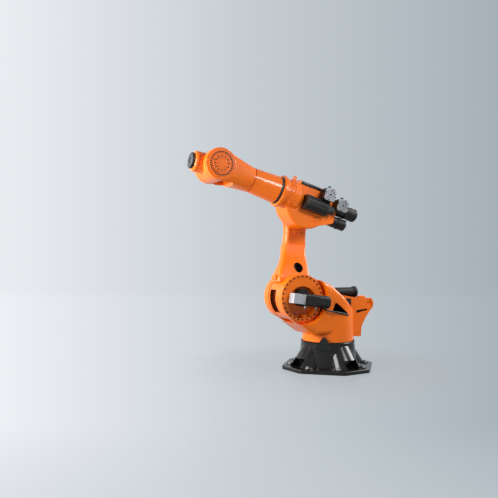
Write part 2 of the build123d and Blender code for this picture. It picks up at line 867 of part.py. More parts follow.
def wrist_cap(side):
    out = fork_half_y + wrist_cap_thick
    cap = rod_y(wrist_cap_r, fork_half_y, out)
    cap = fillet(cap.edges().group_by(Axis.Y)[-1], wrist_cap_edge)
    cap = cap + rod_y(wrist_cap_step_r, out, out + wrist_cap_step)
    cap = cap + rod_y(wrist_axle_r, fork_in - wrist_axle_in, fork_half_y)
    if side < 0:
        cap = Rot(0, 0, full_turn / 2) * cap
    return forearm_frame * Pos(wrist_reach, 0, 0) * cap


def hand_drum():
    neck = rod_x(neck_r, 0, neck_end)
    neck = chamfer(neck.edges().group_by(Axis.X)[-1], neck_bevel)
    end = neck_groove_s + neck_groove_long
    groove = rod_x(neck_r + overrun, neck_groove_s, end)
    groove = groove - rod_x(neck_r - neck_groove_deep, neck_groove_s, end)
    body = rounded_rod_y(hand_drum_r, -hand_half, hand_half, hand_edge) + neck - groove
    body = body - rod_y(wrist_axle_r + seat_gap, -hand_half - overrun, hand_half + overrun)
    bore_end = neck_end - flange_spigot_long - run_gap
    return hand_frame * (body - rod_x(flange_spigot_r + seat_gap, bore_end, neck_end + overrun))


def tool_flange():
    disc = rod_x(flange_r, neck_end + seat_gap, flange_reach)
    disc = chamfer(disc.edges().group_by(Axis.X)[-1], flange_bevel)
    disc = disc + rod_x(flange_spigot_r, neck_end - flange_spigot_long, flange_reach - flange_bevel)
    disc = disc - rod_x(flange_bore_r, flange_reach - flange_bore_deep, flange_reach + overrun)
    hole = rod_x(flange_hole_r, flange_reach - flange_hole_deep, flange_reach + overrun)
    hole = Pos(0, flange_hole_circle / 2, 0) * hole
    for i in range(flange_hole_count):
        disc = disc - Rot(full_turn * i / flange_hole_count, 0, 0) * hole
    return hand_frame * disc


os.makedirs("parts", exist_ok=True)
parts = {
    "base_casting": base_casting(),
    "base_slew_ring": base_slew_ring(),
    "base_stop": base_stop(),
    "base_socket_box": base_socket_box(),
    "base_socket_1": base_socket(-1),
    "base_socket_2": base_socket(0),
    "base_socket_3": base_socket(1),
    "column_casting": column_casting(),
    "shoulder_gear_cover": shoulder_gear_cover(),
    "shoulder_drive_flange": shoulder_drive_flange(),
    "shoulder_bearing_cover": shoulder_bearing_cover(),
    "shoulder_drive_head": shoulder_drive_head(),
    "shoulder_motor": shoulder_motor(),
    "shoulder_motor_end": shoulder_motor_end(),
    "shoulder_cable": shoulder_cable(),
    "counterbalance_tank": counterbalance_tank(),
    "counterbalance_cylinder": counterbalance_cylinder(),
    "counterbalance_pin": counterbalance_pin(),
    "horn_valve": horn_valve(),
    "horn_bumper": horn_bumper(),
    "link_casting": link_casting(),
    "link_end_cap": link_end_cap(),
    "arm_casting": arm_casting(),
    "elbow_axle": elbow_axle(),
    "arm_lug": arm_lug(),
    "elbow_motor": elbow_motor(),
    "drive_case_a": drive_case(box_a_u, box_a_v, elbow_motor_top),
    "drive_cap_a": drive_cap(box_a_u, box_a_v, elbow_motor_top),
    "drive_plug_a": drive_plug(box_a_u, box_a_v),
    "drive_case_b": drive_case(box_b_u, box_b_v, box_b_v - box_half),
    "drive_cap_b": drive_cap(box_b_u, box_b_v, box_b_v - box_half),
    "drive_plug_b": drive_plug(box_b_u, box_b_v),
    "rear_motor": round_motor(rear_motor_r, rear_motor_end, rear_motor_start, rear_motor_v, rear_motor_y),
    "low_motor": round_motor(low_motor_r, low_motor_end, low_motor_start, low_motor_v, low_motor_y),
    "arm_hose": arm_hose(),
    "forearm_seal": forearm_seal(),
    "forearm_tube": forearm_tube(),
    "wrist_fork": wrist_fork(),
    "wrist_cap_left": wrist_cap(1),
    "wrist_cap_right": wrist_cap(-1),
    "hand_drum": hand_drum(),
    "tool_flange": tool_flange(),
}
for name, shape in parts.items():
    export_step(shape, f"parts/{name}.step")
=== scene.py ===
import json
from math import radians, cos, sin, pi
import bmesh
import bpy
import numpy as np
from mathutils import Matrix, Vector


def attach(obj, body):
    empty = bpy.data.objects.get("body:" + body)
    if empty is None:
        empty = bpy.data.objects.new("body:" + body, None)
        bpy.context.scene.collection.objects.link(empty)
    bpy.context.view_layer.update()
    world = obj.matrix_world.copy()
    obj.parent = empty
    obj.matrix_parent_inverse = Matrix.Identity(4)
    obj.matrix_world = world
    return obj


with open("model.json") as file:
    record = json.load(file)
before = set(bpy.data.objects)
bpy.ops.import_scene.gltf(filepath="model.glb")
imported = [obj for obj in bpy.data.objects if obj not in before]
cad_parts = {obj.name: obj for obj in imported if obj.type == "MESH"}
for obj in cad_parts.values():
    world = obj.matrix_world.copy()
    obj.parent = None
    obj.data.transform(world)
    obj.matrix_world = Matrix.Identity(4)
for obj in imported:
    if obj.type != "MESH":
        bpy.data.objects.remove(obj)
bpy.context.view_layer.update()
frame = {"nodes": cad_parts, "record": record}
nodes = frame["nodes"]
print("frame loaded:", len(nodes), "nodes")


class Wire:  # a socket that takes part in plain arithmetic
    def __init__(self, net, socket):
        self.net, self.socket = net, socket

    def math(self, operation, a, b=0.0):
        return self.net.node("ShaderNodeMath", {"operation": operation}, {0: a, 1: b})

    def __add__(self, other): return self.math("ADD", self, other)
    def __radd__(self, other): return self.math("ADD", other, self)
    def __sub__(self, other): return self.math("SUBTRACT", self, other)
    def __rsub__(self, other): return self.math("SUBTRACT", other, self)
    def __mul__(self, other): return self.math("MULTIPLY", self, other)
    def __rmul__(self, other): return self.math("MULTIPLY", other, self)
    def __truediv__(self, other): return self.math("DIVIDE", self, other)
    def __gt__(self, other): return self.math("GREATER_THAN", self, other)
    def __lt__(self, other): return self.math("LESS_THAN", self, other)

    def clipped(self, top=1.0):
        return self.math("MINIMUM", self.math("MAXIMUM", self, 0.0), top)


class Net:  # one material, or the world, and its nodes
    def __init__(self, name, store=bpy.data.materials, shader="Principled BSDF"):
        self.mat = store.new(name)
        self.mat.use_nodes = True
        self.tree = self.mat.node_tree
        self.shader = self.tree.nodes[shader]

    def node(self, kind, settings, sockets, out=0):
        made = self.tree.nodes.new(kind)
        for key, value in settings.items():
            if key == "stops":  # a ramp's (position, colour) pairs
                ramp = made.color_ramp
                ramp.elements[0].position, ramp.elements[0].color = value[0]
                ramp.elements[1].position, ramp.elements[1].color = value[-1]
                for place, colour in value[1:-1]:
                    ramp.elements.new(place).color = colour
            else:
                setattr(made, key, value)
        for key, value in sockets.items():
            self.put(made.inputs[key], value)
        return Wire(self, made.outputs[out])

    def put(self, socket, value):
        if isinstance(value, Wire):
            self.tree.links.new(value.socket, socket)
        else:
            socket.default_value = value

    def set(self, **values):
        for key, value in values.items():
            self.put(self.shader.inputs[key.replace("_", " ")], value)
        return self.mat

    def place(self):
        return self.node("ShaderNodeTexCoord", {}, {}, "Object")

    def along(self, direction):
        sockets = {0: self.place(), 1: direction}
        return self.node("ShaderNodeVectorMath", {"operation": "DOT_PRODUCT"}, sockets, "Value")

    def noise(self, scale, detail=2.0, rough=0.5):
        sockets = {"Vector": self.place(), "Scale": scale, "Detail": detail, "Roughness": rough}
        return self.node("ShaderNodeTexNoise", {}, sockets)

    def mix(self, factor, a, b):
        return self.node("ShaderNodeMix", {"data_type": "RGBA"}, {0: factor, 6: a, 7: b}, 2)

    def scaled(self, colour, factor):
        return self.node("ShaderNodeVectorMath", {"operation": "SCALE"}, {0: colour, "Scale": factor})

    def seen(self):  # 1 for what the camera sees, straight or in a reflection or through glass
        direct, mirrored, through = (self.node("ShaderNodeLightPath", {}, {}, "Is %s Ray" % kind)
                                     for kind in ("Camera", "Glossy", "Transmission"))
        return (direct + mirrored + through).clipped()

    def bump(self, height, strength, distance):
        sockets = {"Height": height, "Strength": strength, "Distance": distance}
        return self.node("ShaderNodeBump", {}, sockets)


def tint(r, g, b):
    return (r, g, b, 1.0)


# resting pose in metres and degrees: the forearm's axis runs "rise" above and "side" beside the elbow
pose = {"shoulder": (0.6, 0.0, 1.1), "link": 95.7, "linkLength": 1.4, "arm": 16.9, "rise": 0.045,
        "side": 0.13, "wrist": 1.525}
left = np.array([0.0, 1.0, 0.0])
shoulder = np.array(pose["shoulder"])


def tilted(degrees):  # forward and upward unit vectors of a body raised by an angle
    a = radians(degrees)
    return np.array([cos(a), 0.0, sin(a)]), np.array([-sin(a), 0.0, cos(a)])


linkUp, linkBack = tilted(pose["link"])
armOut, armUp = tilted(pose["arm"])
elbow = shoulder + pose["linkLength"] * linkUp
tubeStart = elbow + pose["rise"] * armUp + pose["side"] * left
wrist = tubeStart + pose["wrist"] * armOut


def onArm(out, rise, side):  # a place measured from the elbow along the arm, above it and to the left
    return elbow + out * armOut + rise * armUp + side * left


def onLink(up, back, side):  # a place measured from the shoulder along the link, behind it and to the left
    return shoulder + up * linkUp + back * linkBack + side * left


def across(axis):  # two unit vectors square to an axis
    guide = left if abs(axis[1]) < 0.9 else np.array([1.0, 0.0, 0.0])
    first = np.cross(guide, axis)
    first /= np.linalg.norm(first)
    return first, np.cross(axis, first)


# noise scales are in waves per metre, shares and spreads are plain factors, "deep" is in metres
paint = {"patch": 1.6, "film": 6.0, "skin": 420.0, "cast": 38.0, "patchShare": 0.8, "filmShare": 0.2,
         "skinShare": 0.35, "castShare": 0.65, "filmSpread": 0.18, "coatRough": 0.06, "deep": 0.0015}


def paintedCasting(name, fresh, faded, gloss, peel, shine=0.2, coat=0.2, shadeZones=()):
    # two close tints in large soft patches, a fine orange-peel skin and a dull film that varies the gloss
    net = Net(name)
    patch = net.noise(paint["patch"], 3.0)
    film = net.noise(paint["film"], 4.0, 0.6)
    skin = net.noise(paint["skin"], 1.0)
    cast = net.noise(paint["cast"], 3.0)
    colour = net.mix(patch * paint["patchShare"] + film * paint["filmShare"], tint(*fresh), tint(*faded))
    for shadeZone in shadeZones:  # another tint inside a radius about an axis, between two places along it: painted shade in hollows and grooves
        first, second = across(np.array(shadeZone["axis"]))
        spot = np.array(shadeZone["centre"])
        a = net.along(tuple(first)) - float(spot @ first)
        b = net.along(tuple(second)) - float(spot @ second)
        depth = net.along(shadeZone["axis"])
        inside = (a * a + b * b < shadeZone["radius"] ** 2) * (depth > shadeZone["low"]) * (depth < shadeZone["high"])
        colour = net.mix(inside, colour, tint(*shadeZone["colour"]))
    height = skin * paint["skinShare"] + cast * paint["castShare"]
    return net.set(Base_Color=colour, Roughness=gloss + (film - 0.5) * paint["filmSpread"], Coat_Weight=coat,
                   Coat_Roughness=paint["coatRough"], Specular_IOR_Level=shine,
                   Normal=net.bump(height, peel, paint["deep"]))


fins = {"film": 8.0, "grain": 520.0, "rough": 0.40, "filmSpread": 0.2, "waveShare": 0.5, "grainShare": 0.12,
        "strength": 0.55, "pitch": 0.024, "deep": 0.004}


def finnedMotor(name, fresh, faded):
    # fine cooling fins as a sine of the height across the motor, over a blasted black
    net = Net(name)
    film = net.noise(fins["film"], 4.0, 0.6)
    grain = net.noise(fins["grain"], 1.0)
    rise = net.along(tuple(armUp))
    wave = rise.math("SINE", rise * (2 * pi / fins["pitch"]))
    height = wave * fins["waveShare"] + grain * fins["grainShare"]
    return net.set(Base_Color=net.mix(film, tint(*fresh), tint(*faded)),
                   Roughness=fins["rough"] + (film - 0.5) * fins["filmSpread"],
                   Normal=net.bump(height, fins["strength"], fins["deep"]))


blasted = {"grain": 900.0, "cloud": 14.0, "lift": 1.25, "cloudSpread": 0.2, "strength": 0.12, "deep": 0.0008}


def castAluminium(name, colour, rough, metal=0.8):
    # a blasted casting: fine grain in the height, wider clouds in the gloss
    net = Net(name)
    grain = net.noise(blasted["grain"], 2.0)
    cloud = net.noise(blasted["cloud"], 4.0, 0.6)
    pale = tuple(min(1.0, c * blasted["lift"]) for c in colour)
    return net.set(Base_Color=net.mix(cloud, tint(*colour), tint(*pale)), Metallic=metal,
                   Roughness=rough + (cloud - 0.5) * blasted["cloudSpread"],
                   Normal=net.bump(grain, blasted["strength"], blasted["deep"]))


rubber = {"dust": 9.0, "grain": 700.0, "lift": 1.8, "least": 0.004, "rough": 0.45, "dustSpread": 0.2,
          "strength": 0.1, "deep": 0.0008}


def rubberSkin(name, colour):
    # dark rubber with dust that lifts the tint and dulls the gloss
    net = Net(name)
    dust = net.noise(rubber["dust"], 4.0, 0.65)
    grain = net.noise(rubber["grain"], 1.0)
    pale = tuple(c * rubber["lift"] + rubber["least"] for c in colour)
    return net.set(Base_Color=net.mix(dust, tint(*colour), tint(*pale)),
                   Roughness=rubber["rough"] + dust * rubber["dustSpread"],
                   Normal=net.bump(grain, rubber["strength"], rubber["deep"]))


orange = {"fresh": (0.90, 0.178, 0.002), "faded": (0.86, 0.150, 0.001), "gloss": 0.40, "peel": 0.08,
          "coat": 0.4}
baseBlack = {"fresh": (0.004, 0.004, 0.004), "faded": (0.007, 0.0065, 0.006), "gloss": 0.20, "peel": 0.06,
             "shine": 0.35, "coat": 0.05}
motorBlack = {"fresh": (0.006, 0.0057, 0.0055), "faded": (0.012, 0.011, 0.010), "gloss": 0.38, "peel": 0.16,
              "shine": 0.3, "coat": 0.05}
finBlack = {"fresh": (0.010, 0.0095, 0.009), "faded": (0.020, 0.018, 0.016)}
# painted shade: near black inside the column's window and the link's hole, where shade falls
cavityShade = (0.010, 0.009, 0.008)
shade = (0.10, 0.012, 0.002)  # painted shade deep in the link's groove
columnCavityShade = {"axis": (0, 0, 1), "centre": (0, 0, 0), "radius": 0.365, "low": 0.79, "high": 1.06,
                "colour": cavityShade}
linkCavityShade = {"axis": (0, 1, 0), "centre": onLink(up=0.445, back=0.022, side=0.0), "radius": 0.0775,
              "low": -0.075, "high": 0.050, "colour": cavityShade}
linkGrooveShade = {"axis": (0, 1, 0), "centre": shoulder, "radius": 0.339, "low": -0.096, "high": 0.096,
              "colour": shade}
finishes = {  # by material slot
    "orange_paint": paintedCasting("orangePaint", **orange),
    "black_paint": paintedCasting("baseBlack", **baseBlack),
    "motor_black": paintedCasting("motorBlack", **motorBlack),
    "bare_aluminium": castAluminium("castAluminium", (0.20, 0.207, 0.22), 0.42),
    "steel": castAluminium("turnedSteel", (0.24, 0.24, 0.245), 0.38),
    "seal_black": rubberSkin("sealRubber", (0.008, 0.008, 0.008)),
    "flange_black": castAluminium("burnishedFlange", (0.030, 0.031, 0.035), 0.40),
}
ownFinishes = {  # by node, in place of its slot's finish
    "column_casting": paintedCasting("columnPaintAndShade", shadeZones=[columnCavityShade], **orange),
    "shoulder_drive_head": castAluminium("paleAluminium", (0.36, 0.37, 0.39), 0.60, 0.35),
    "link_casting": paintedCasting("linkPaintAndShade", shadeZones=[linkCavityShade, linkGrooveShade], **orange),
    "elbow_motor": finnedMotor("finnedMotor", **finBlack),
}
for entry in frame["record"]["subparts"]:
    mesh = nodes[entry["node"]].data
    mesh.materials.clear()
    mesh.materials.append(ownFinishes.get(entry["node"], finishes[entry["material_slot"]]))

meshing = {"merge": 1e-6, "sharp": 32.0}  # metres, degrees


def gridPiece(name, body, slot, grids, wrap):
    # each grid of points (rows, columns) becomes quads, closed along its columns;
    # wrap joins the last row to the first
    blocks, faces, start = [], [], 0
    for grid in grids:
        rows, columns = grid.shape[:2]
        i, j = np.meshgrid(np.arange(rows if wrap else rows - 1), np.arange(columns), indexing="ij")
        k, m = (i + 1) % rows, (j + 1) % columns
        corners = [i * columns + j, i * columns + m, k * columns + m, k * columns + j]
        blocks.append(grid.reshape(-1, 3))
        faces.append(np.stack(corners, -1).reshape(-1, 4) + start)
        start += rows * columns
    mesh = bpy.data.meshes.new(name)
    mesh.from_pydata(np.concatenate(blocks).tolist(), [], np.concatenate(faces).tolist())
    work = bmesh.new()
    work.from_mesh(mesh)
    bmesh.ops.remove_doubles(work, verts=work.verts, dist=meshing["merge"])
    bmesh.ops.recalc_face_normals(work, faces=work.faces)
    work.to_mesh(mesh)
    work.free()
    mesh.polygons.foreach_set("use_smooth", np.ones(len(mesh.polygons), bool))
    mesh.set_sharp_from_angle(angle=radians(meshing["sharp"]))
    mesh.materials.append(finishes[slot])
    obj = bpy.data.objects.new(name, mesh)
    bpy.context.scene.collection.objects.link(obj)
    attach(obj, body)


# head profiles: (radius, height) as shares of the head's own radius and height
socketHead = np.array([(0, 0.3), (0.52, 0.3), (0.55, 1), (0.88, 1), (1, 0.85), (1, -0.2), (0, -0.2)])
hexHead = np.array([(0, 1), (0.86, 1), (1, 0.88), (1, 0), (0, -0.1)])
plugStub = np.array([(0, 1), (0.62, 1), (0.70, 0.94), (0.70, 0.6), (1, 0.56), (1, 0), (0, -0.15)])
flatWasher = np.array([(0, 1), (0.94, 1), (1, 0.6), (1, 0), (0, -0.4)])
steps = {"head": 16, "ring": 96, "ringSection": 12, "barSection": 10, "padHeight": 13, "padRound": 48}
square = {"ring": 0.5, "bar": 0.6}  # 1 is a round section, smaller is squarer


def circle(count):  # angles once round, without the closing one
    return np.arange(count) * 2 * pi / count


def softPower(t, power):  # keeps the sign, so a circle becomes a rounded square
    return np.sign(t) * np.abs(t) ** power


def turned(angles, first, second):  # unit vectors at the given angles between two directions
    return np.cos(angles)[:, None] * first + np.sin(angles)[:, None] * second


def headRing(name, body, slot, spec):
    # heads round a circle: centre + reach * turn(a) + radius * turn(b) + height * axis,
    # for each place a and each point of the profile
    axis = np.array(spec["axis"], float)
    first, second = across(axis)
    step = radians(spec.get("sweep", 360)) / spec["count"]
    a = radians(spec.get("start", 0)) + np.arange(spec["count"]) * step
    spots = np.array(spec["centre"]) + spec["reach"] * turned(a, first, second)
    ring = turned(circle(spec.get("sides", steps["head"])), first, second)
    profile = spec.get("head", socketHead) * np.array([spec["radius"], spec["height"]])
    shape = profile[:, None, :1] * ring[None] + profile[:, None, 1:] * axis
    gridPiece(name, body, slot, [spot + shape for spot in spots], False)


def band(name, body, slot, spec):
    # a closed ring: circle of the given radius, carrying a rounded section (height out, width along the axis)
    axis = np.array(spec["axis"], float)
    turn, b = turned(circle(steps["ring"]), *across(axis)), circle(steps["ringSection"])
    out = spec["radius"] + spec["height"] * softPower(np.cos(b), square["ring"])
    wide = spec["width"] / 2 * softPower(np.sin(b), square["ring"])
    grid = np.array(spec["centre"]) + out[None, :, None] * turn[:, None, :] + wide[None, :, None] * axis
    gridPiece(name, body, slot, [grid], True)


def ribs(name, body, slot, spec):
    # bars: start + share * run + swell * section, where the rounded section is
    # width * cos * side + height * sin * normal, and swell draws it in to a point at both ends
    share, swell = np.array([0, 0, 0.02, 0.98, 1, 1]), np.array([0, 0.8, 1, 1, 0.8, 0])
    b = circle(steps["barSection"])
    run, side, normal = (np.array(spec[key], float) for key in ("run", "side", "normal"))
    section = (spec["width"] / 2 * softPower(np.cos(b), square["bar"])[:, None] * side
               + spec["height"] * softPower(np.sin(b), square["bar"])[:, None] * normal)
    bar = share[:, None, None] * run + swell[:, None, None] * section[None]
    gridPiece(name, body, slot, [np.array(start) + bar for start in spec["starts"]], False)


def softPad(name, body, slot, spec):
    # a closed pad: centre + half * cos(n) * (cos(w) * first + sin(w) * second) + half * sin(n) * normal,
    # squared by powers below 1: "edge" for n and "corner" for w
    n, w = np.linspace(-pi / 2, pi / 2, steps["padHeight"]), circle(steps["padRound"])
    first, second, normal = (np.array(spec[key], float) for key in ("first", "second", "normal"))
    flat = softPower(np.cos(n), spec["edge"])[:, None, None]
    deep = softPower(np.sin(n), spec["edge"])[:, None, None]
    outline = (spec["half"][0] * softPower(np.cos(w), spec["corner"])[None, :, None] * first
               + spec["half"][1] * softPower(np.sin(w), spec["corner"])[None, :, None] * second)
    grid = np.array(spec["centre"]) + flat * outline + deep * spec["half"][2] * normal
    gridPiece(name, body, slot, [grid], False)


# bolts of the covers, caps, foot and rim; a face is measured from the part's own middle plane
drumFace, capFace, coverFace, hubFace, linkCapFace = 0.227, 0.274, 0.293, 0.281, 0.320
upright = (0, 0, 1)
# the dark heads of the cover and wrist cap bolts are black bolts and also painted shade: they stand in for
# the shade of counterbores round the heads
gearBolts = {"centre": shoulder + coverFace * left, "axis": left, "reach": 0.318, "count": 28,
             "radius": 0.0125, "height": 0.011}
bearingBolts = {**gearBolts, "centre": shoulder - coverFace * left, "axis": -left}
capBoltsLeft = {"centre": wrist + capFace * left, "axis": left, "reach": 0.160, "count": 32,
                "radius": 0.0095, "height": 0.008}
capBoltsRight = {**capBoltsLeft, "centre": wrist - capFace * left, "axis": -left}
hubBoltsLeft = {"centre": wrist + hubFace * left, "axis": left, "reach": 0.100, "count": 12,
                "radius": 0.0085, "height": 0.007}
hubBoltsRight = {**hubBoltsLeft, "centre": wrist - hubFace * left, "axis": -left}
linkCapBolts = {"centre": elbow - linkCapFace * left, "axis": -left, "reach": 0.233, "count": 18,
                "radius": 0.011, "height": 0.009}
footBolts = {"centre": (0, 0, 0.068), "axis": upright, "reach": 0.590, "count": 8, "start": 74.5,
             "radius": 0.031, "height": 0.024, "head": hexHead, "sides": 6}
footWashers = {**footBolts, "centre": (0, 0, 0.064), "radius": 0.038, "height": 0.005,
               "head": flatWasher, "sides": 24}
rimBolts = {"centre": (0, 0, 0.420), "axis": upright, "reach": 0.4025, "count": 40, "start": 81, "sweep": 308,
            "radius": 0.007, "height": 0.010, "head": hexHead, "sides": 6}
boltRings = {"gearCoverBolts": ("column", "flange_black", gearBolts),
             "bearingCoverBolts": ("column", "flange_black", bearingBolts),
             "wristCapBoltsLeft": ("forearm", "flange_black", capBoltsLeft),
             "wristCapBoltsRight": ("forearm", "flange_black", capBoltsRight),
             "wristHubBoltsLeft": ("forearm", "flange_black", hubBoltsLeft),
             "wristHubBoltsRight": ("forearm", "flange_black", hubBoltsRight),
             "linkCapBolts": ("link_arm", "flange_black", linkCapBolts),
             "footBolts": ("base", "steel", footBolts),
             "footWashers": ("base", "steel", footWashers),
             "rimBolts": ("base", "black_paint", rimBolts)}
for name, (body, slot, spec) in boltRings.items():
    headRing(name, body, slot, spec)
print("bolt rings placed")

# screws, studs and a raised ring on the two silver drive caps, each cap at (out, rise) from the elbow
driveCaps = {"a": (-0.236, 0.207), "b": (-0.488, 0.120)}
driveCapFace = {"rim": 0.398, "eye": 0.3862, "studs": 0.393}
driveCapScrews = {"axis": left, "reach": 0.0877, "count": 4, "radius": 0.009, "height": 0.006,
                  "start": 45 + pose["arm"]}
driveCapEye = {"axis": left, "reach": 0.0, "count": 1, "radius": 0.0165, "height": 0.006,
               "head": flatWasher, "sides": 24}
driveCapStuds = {"axis": left, "reach": 0.042, "count": 6, "radius": 0.006, "height": 0.004}
driveCapRing = {"axis": left, "radius": 0.069, "height": 0.004, "width": 0.010}
for key, place in driveCaps.items():
    rim, eye, studs = (onArm(*place, driveCapFace[level]) for level in ("rim", "eye", "studs"))
    headRing("driveCapScrews_" + key, "arm", "flange_black", {"centre": rim, **driveCapScrews})
    headRing("driveCapEye_" + key, "arm", "flange_black", {"centre": eye, **driveCapEye})
    headRing("driveCapStuds_" + key, "arm", "flange_black", {"centre": studs, **driveCapStuds})
    band("driveCapRing_" + key, "arm", "bare_aluminium", {"centre": rim, **driveCapRing})

# two plugs on the drum's near face
drumPlugs = {"centre": onArm(out=-0.150, rise=-0.190, side=drumFace), "axis": left, "reach": 0.030,
             "count": 2, "radius": 0.016, "height": 0.012, "start": 200}
headRing("drumPlugs", "arm", "orange_paint", drumPlugs)
print("screws and plugs placed")

# turned bands and a dark joint line on the boss, bands on the round motors, rings on the wrist caps
bossPlaces = {"bands": (0.300, 0.335, 0.370), "joint": 0.1955}
bossBand = {"axis": armOut, "radius": 0.2135, "height": 0.006, "width": 0.013}
bossJoint = {"centre": tubeStart + bossPlaces["joint"] * armOut, "axis": armOut, "radius": 0.2125,
             "height": 0.003, "width": 0.005}
for k, out in enumerate(bossPlaces["bands"]):
    band("bossBand_%d" % k, "arm", "orange_paint", {"centre": tubeStart + out * armOut, **bossBand})
band("bossJoint", "arm", "seal_black", bossJoint)
motors = {"rear": {"rise": 0.105, "side": 0.118, "radius": 0.100, "places": (-0.56, -0.60, -0.78, -0.84)},
          "low": {"rise": -0.100, "side": 0.124, "radius": 0.084, "places": (-0.53, -0.66, -0.70)}}
lowRim = -0.728
motorBand = {"axis": armOut, "height": 0.004, "width": 0.012}
for label, motor in motors.items():
    for k, out in enumerate(motor["places"]):
        centre = onArm(out, motor["rise"], motor["side"])
        spec = {"centre": centre, "radius": motor["radius"], **motorBand}
        band("%sMotorBand_%d" % (label, k), "arm", "motor_black", spec)
lowMotorRim = {"centre": onArm(lowRim, motors["low"]["rise"], motors["low"]["side"]), "axis": armOut,
               "radius": 0.083, "height": 0.004, "width": 0.010}
band("lowMotorRim", "arm", "steel", lowMotorRim)
capRings = {"outer": 0.128, "inner": 0.070}
capRing = {"axis": left, "height": 0.004, "width": 0.010}
for label, side in (("Left", 1), ("Right", -1)):
    for key, radius in capRings.items():
        spec = {"centre": wrist + side * hubFace * left, "radius": radius, **capRing}
        band("wristCapRing%s_%s" % (label, key), "forearm", "orange_paint", spec)
print("bands placed")

# cooling ribs along the elbow motor: on its flat outer face and on the bevels above and below it
motorBox = {"rear": -0.275, "long": 0.36, "out": 0.395, "top": 0.110, "low": -0.105, "bevel": 0.070}
motorRib = {"run": motorBox["long"] * armOut, "width": 0.009, "height": 0.006}
ribShares = np.array([0.15, 0.38, 0.62, 0.85])
upAndOut, downAndOut = (left + armUp) / np.sqrt(2), (left - armUp) / np.sqrt(2)
faceLow, faceTop = motorBox["low"] + motorBox["bevel"], motorBox["top"] - motorBox["bevel"]
inward = motorBox["bevel"] * ribShares
ribRuns = {"Face": (faceLow + ribShares * (faceTop - faceLow), np.zeros_like(inward), armUp, left),
           "Upper": (faceTop + inward, inward, -downAndOut, upAndOut),
           "Lower": (faceLow - inward, inward, upAndOut, downAndOut)}
for label, (rise, inset, side, normal) in ribRuns.items():
    starts = onArm(motorBox["rear"], rise[:, None], (motorBox["out"] - inset)[:, None])
    spec = {"starts": starts, "side": side, "normal": normal, **motorRib}
    ribs("elbowMotorRibs" + label, "arm", "motor_black", spec)
print("motor ribs placed")

# black rail along the top edge of the arm's near face
armTopRail = {"starts": [onArm(out=-0.140, rise=0.270, side=drumFace)], "run": 0.335 * armOut,
              "side": armUp, "normal": left, "width": 0.052, "height": 0.014}
ribs("armTopRail", "arm", "motor_black", armTopRail)

# flat guard plate on the link, below the drum
guard = {"up": 1.025, "back": 0.070, "middle": -0.1205, "face": -0.116}
guardPlate = {"centre": onLink(guard["up"], guard["back"], guard["middle"]), "first": -linkBack,
              "second": linkUp, "normal": left, "half": (0.088, 0.066, 0.005), "edge": 0.3, "corner": 0.6}
guardScrews = {"centre": onLink(guard["up"], guard["back"], guard["face"]), "axis": left, "reach": 0.048,
               "count": 4, "radius": 0.009, "height": 0.002, "start": 40}
softPad("linkGuardPlate", "link_arm", "orange_paint", guardPlate)
headRing("linkGuardScrews", "link_arm", "flange_black", guardScrews)
print("rail and link guard placed")

# short silver plugs below the shoulder drive, and screws on its head
drive = {"middle": np.array([0.6, 0.404, 1.080]), "tilt": 8.0, "plugDrop": 0.088, "plugGap": 0.178,
         "headOut": 0.138, "headFace": 0.072}
driveOut, driveUp = tilted(drive["tilt"])
plugSpot = drive["middle"] - drive["plugDrop"] * driveUp
headSpot = drive["middle"] + drive["headOut"] * driveOut + drive["headFace"] * left
drivePlug = {"axis": -driveUp, "reach": 0.0, "count": 1, "head": plugStub, "sides": 20}
drivePlugs = {"first": {"centre": plugSpot, "radius": 0.020, "height": 0.040},
              "second": {"centre": plugSpot - drive["plugGap"] * driveOut, "radius": 0.018, "height": 0.036}}
driveHeadScrews = {"centre": headSpot, "axis": left, "reach": 0.078, "count": 4, "radius": 0.007,
                   "height": 0.006, "start": 45 + drive["tilt"]}
for key, plug in drivePlugs.items():
    headRing("drivePlug_" + key, "column", "bare_aluminium", {**drivePlug, **plug})
headRing("driveHeadScrews", "column", "steel", driveHeadScrews)
print("drive fittings placed")

# dark strips that close the horn's two long slots, inside its side walls: painted shade that stands in for
# the shade in the slots
hornSlot = {"front": -0.415, "wall": 0.106, "height": 0.848, "slope": 8.56, "long": 0.235}
slotRun, slotSide = tilted(180 - hornSlot["slope"])
slotStarts = [(hornSlot["front"], side * hornSlot["wall"], hornSlot["height"]) for side in (1, -1)]
slotShadeStrips = {"starts": slotStarts, "run": hornSlot["long"] * slotRun, "side": slotSide, "normal": left,
              "width": 0.070, "height": 0.006}
ribs("hornSlotShadeStrips", "column", "seal_black", slotShadeStrips)
print("slot liners placed")

# studio: one pale sweep for floor and backdrop
camera = {"spot": (4.780, 7.968, 1.682), "heading": 23.43, "tilt": 0.99, "lens": 42.87, "sensor": 36.0,
          "shift": -0.002, "clipEnd": 200}
heading = radians(camera["heading"])
ahead = np.array([-sin(heading), -cos(heading), 0.0])
aside = np.array([cos(heading), -sin(heading), 0.0])
sweepStart = np.array([camera["spot"][0], camera["spot"][1], 0.0])
sweep = {"floorRun": 36.0, "floorBack": 5.0, "bend": 6.0, "wall": 18.0, "halfWidth": 40.0, "steps": 120,
         "floorEnd": 0.5, "bendEnd": 0.8}


